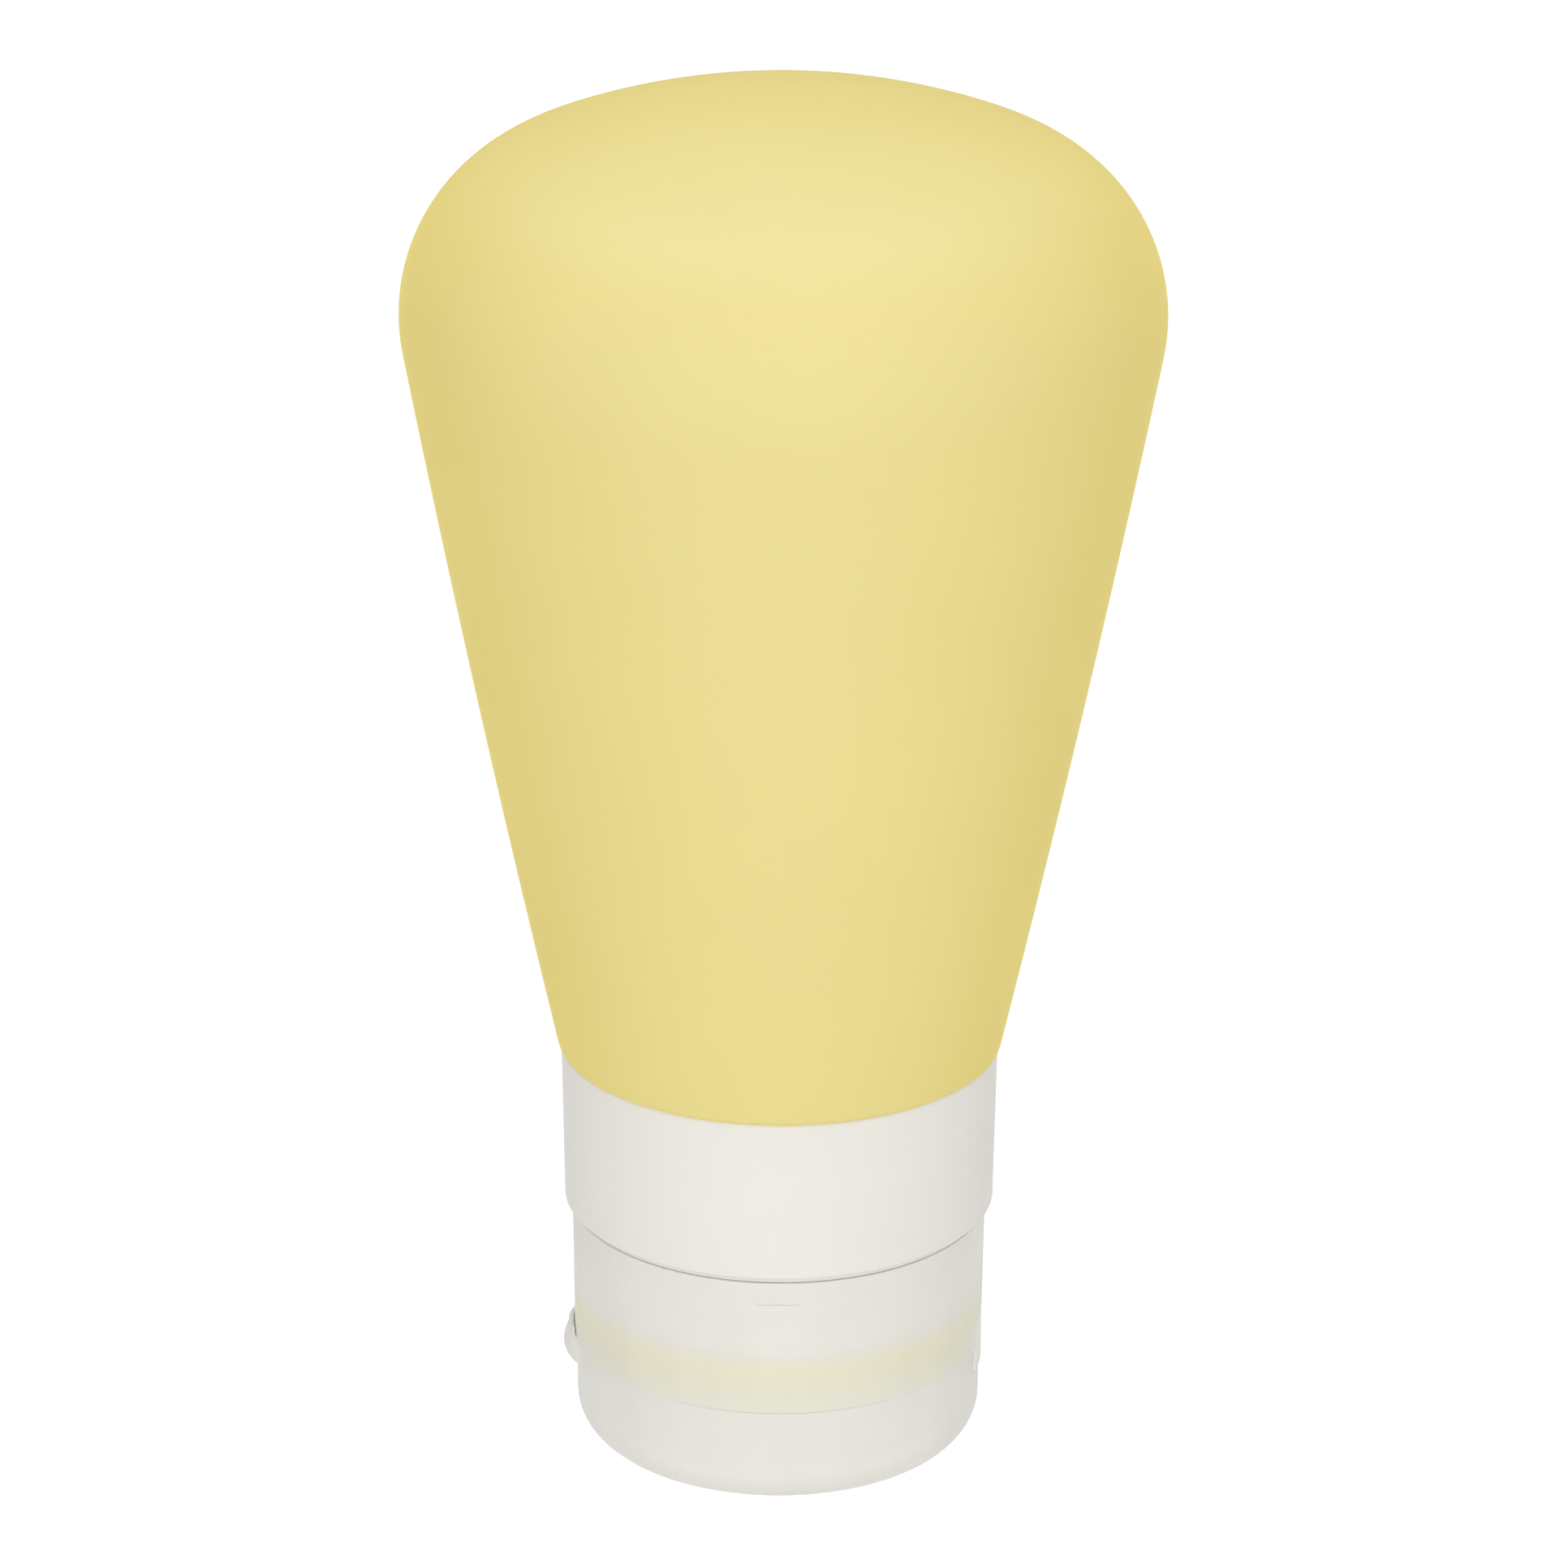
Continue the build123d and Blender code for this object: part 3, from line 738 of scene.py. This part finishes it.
def satin_material(name, colour, roughness, worn_levels):
    """Satin moulded plastic with rims that are worn smoother at the given heights."""
    material, tree, shader = start_material(name)
    tone = use_group(tree, uneven_tone, [("Colour", (*colour, 1)), ("Scale", 80), ("Amount", 0.012)])
    rough = use_group(tree, handling, [("Roughness", roughness), ("Amount", 0.07), ("Scale", 160)])
    for level in worn_levels:
        mask = use_group(tree, worn_rim, [("Level", level)])
        smoother = node(tree, "Math", [(0, mask), (1, -RIM_WEAR), (2, rough)], operation="MULTIPLY_ADD")
        rough = smoother.outputs[0]
    grain = use_group(tree, mould_grain, [("Scale", 3500), ("Waviness", 0.6)])
    feed(tree, shader, tone, rough, grain, 0.006 * MM)
    shader.inputs["Specular IOR Level"].default_value = 0.15
    return material


collar_rims = (collar_low.z, collar_high.z)
collar_plastic = satin_material("white collar plastic", (0.88, 0.86, 0.80), 0.46, collar_rims)
insert_plastic = satin_material("milky plastic", (0.86, 0.84, 0.79), 0.38, ())
print("materials:", collar_plastic.name, "and", insert_plastic.name)

# %% [markdown]
# ### Frosted plastic
# Cap and lid let about a fifth of the light through and scatter the rest. Outside they are frosted,
# and inside they are smooth and clear, so what lies behind the wall shows through it, softened. The
# yellow gasket also lights the plastic round it. That glow inside the wall is more than a simple shader
# works out, so a tint by height adds it to the cap, strongest beside the gasket and fading downwards.


# %% The frosted plastic materials
GLOW_REACH = 1.6 * MM
GLOW_END_SHARE = 0.35
SEAL_GLOW = (1.0, 0.985, 0.84)
gasket_middle = (gasket_low.z + gasket_high.z) / 2


def clear_material(name, colour, roughness, passing, glow_colour=(1, 1, 1)):
    """See-through plastic that lets a share of the light pass, with a painted glow tint beside the gasket.
    """
    material, tree, shader = start_material(name)
    place = node(tree, "TexCoord").outputs["Object"]
    height = node(tree, "SeparateXYZ", [(0, place)]).outputs["Z"]
    under = node(
        tree,
        "MapRange",
        [(0, height), (1, gasket_high.z + GLOW_REACH), (2, gasket_high.z), (3, 0.0), (4, 1.0)],
        interpolation_type="SMOOTHSTEP",
    )
    fading = node(
        tree,
        "MapRange",
        [(0, height), (1, parting_level), (2, gasket_middle), (3, GLOW_END_SHARE), (4, 1.0)],
    )
    glow = node(tree, "Math", [(0, under.outputs[0]), (1, fading.outputs[0])], operation="MULTIPLY")
    tinted = tuple(part * tint for part, tint in zip(colour, glow_colour))
    # Painted glow: the plastic's colour is mixed towards a yellow tint beside the gasket, by height.
    colour_and_painted_light = node(tree, "MixRGB", [(0, glow.outputs[0]), (1, (*colour, 1)), (2, (*tinted, 1))])
    tone = use_group(tree, flow_lines, [("Colour", colour_and_painted_light.outputs[0]), ("Amount", 0.015)])
    rough = use_group(tree, handling, [("Roughness", roughness), ("Amount", 0.08), ("Scale", 150)])
    grain = use_group(tree, mould_grain, [("Scale", 4000), ("Waviness", 0.8)])
    feed(tree, shader, tone, rough, grain, 0.006 * MM)
    shader.inputs["IOR"].default_value = 1.3
    shader.inputs["Transmission Weight"].default_value = passing
    return material


frosted_cap = clear_material("frosted cap plastic", (0.99, 0.972, 0.905), 0.4, 0.18, SEAL_GLOW)
frosted_lid = clear_material("frosted lid plastic", (0.99, 0.972, 0.905), 0.4, 0.18)
polished_plastic = clear_material("polished plastic", (0.98, 0.97, 0.94), 0.18, 1.0)
print("materials:", frosted_cap.name, frosted_lid.name, "and", polished_plastic.name)

# %% [markdown]
# ### Give the finishes to the pieces
# A turned piece has one finish. The cap and the lid have two, and the faces say which one they take.


# %% Fill the material slots
def dress(piece, *materials):
    """Fill the piece's material slots, leaving each face's slot number as it is."""
    numbers = [face.material_index for face in piece.data.polygons]
    piece.data.materials.clear()
    for material in materials:
        piece.data.materials.append(material)
    for face, number in zip(piece.data.polygons, numbers):
        face.material_index = min(number, len(materials) - 1)


THREAD_CREST = 12.9 * MM
LID_BORE = 12.0 * MM
sort_faces(cap, THREAD_CREST, gasket_low.z, NECK_LEVEL)
sort_faces(lid, LID_BORE, 0, gasket_low.z)
dress(flask, flask_silicone)
dress(gasket, seal_silicone)
dress(valve, seal_silicone)
dress(hinge, frosted_lid)
dress(cap, frosted_cap, polished_plastic)
dress(lid, frosted_lid, polished_plastic)
for name, material in (
    ("collar", collar_plastic),
    ("neck_insert", insert_plastic),
    ("valve_retainer", insert_plastic),
):
    nodes[name].data.materials.clear()
    nodes[name].data.materials.append(material)
    print(name, "gets", material.name)

# %% [markdown]
# ## Floor and light
# The photograph has a plain white ground and soft light from the front. Floor and world are white where
# the camera looks at them, also through or by the gloss of the plastic, and dimmer as lights. So the
# ground is white without more light on the bottle, and the floor still takes the bottle's soft shadow.
# The cap comes off downwards and the lid swings down past the level on which the closed bottle
# stands. So the floor lies lower than that, clear of both when the cap is off and the lid is open.


# %% Find the rays that see the ground
def seen_rays(tree):
    """1 for rays from the camera, from gloss and through clear plastic, else 0."""
    rays = node(tree, "LightPath").outputs
    seen = node(tree, "Math", [(0, rays["Is Camera Ray"]), (1, rays["Is Glossy Ray"])], operation="MAXIMUM")
    seen = node(tree, "Math", [(0, seen.outputs[0]), (1, rays["Is Transmission Ray"])], operation="MAXIMUM")
    return seen.outputs[0]


# %% Lay the floor
FLOOR_SIZE = 6
FLOOR_SHIFT = 1.5
FLOOR_LEVEL = -25 * MM
FLOOR_GLOW = 0.45
clear_selection()
bpy.ops.mesh.primitive_plane_add(size=FLOOR_SIZE, location=(0, FLOOR_SHIFT, FLOOR_LEVEL))
floor = bpy.context.object
floor.name = "floor"
floor_white, tree, shader = start_material("white floor")
shader.inputs["Base Color"].default_value = (0.8, 0.8, 0.8, 1)
shader.inputs["Roughness"].default_value = 0.8
shader.inputs["Emission Color"].default_value = (1, 1, 1, 1)
glow = node(tree, "Math", [(0, seen_rays(tree)), (1, FLOOR_GLOW)], operation="MULTIPLY")
tree.links.new(glow.outputs[0], shader.inputs["Emission Strength"])
floor.data.materials.append(floor_white)
print("floor at", FLOOR_LEVEL)

# %% Set the world
HORIZON_LIGHT = 0.45
ZENITH_LIGHT = 0.66
world = bpy.data.worlds.new("studio")
bpy.context.scene.world = world
world.use_nodes = True
tree = world.node_tree
background = tree.nodes["Background"]
background.inputs["Color"].default_value = (1, 1, 1, 1)
heading = node(tree, "TexCoord").outputs["Generated"]
upward = node(tree, "SeparateXYZ", [(0, heading)]).outputs["Z"]
light = node(tree, "MapRange", [(0, upward), (1, 0.0), (2, 1.0), (3, HORIZON_LIGHT), (4, ZENITH_LIGHT)])
strength = node(tree, "Math", [(0, seen_rays(tree)), (1, light.outputs[0])], operation="MAXIMUM")
tree.links.new(strength.outputs[0], background.inputs["Strength"])
print("world:", world.name)


# %% Hang the soft boxes
def soft_box(name, place, size, power):
    """A square soft box at the place, turned to the middle of the bottle."""
    data = bpy.data.lights.new(name, "AREA")
    data.size = size
    data.energy = power
    lamp = bpy.data.objects.new(name, data)
    bpy.context.scene.collection.objects.link(lamp)
    lamp.location = place
    lamp.rotation_euler = (VIEW_CENTRE - Vector(place)).to_track_quat("-Z", "Y").to_euler()
    print("lamp:", name, "at", power, "W")


soft_box("front box", place=(0, -1.25, 0.2), size=0.8, power=7.2)
soft_box("top box", place=(0, 0.15, 1.3), size=1.0, power=4.4)

bpy.context.scene.view_settings.view_transform = "Standard"
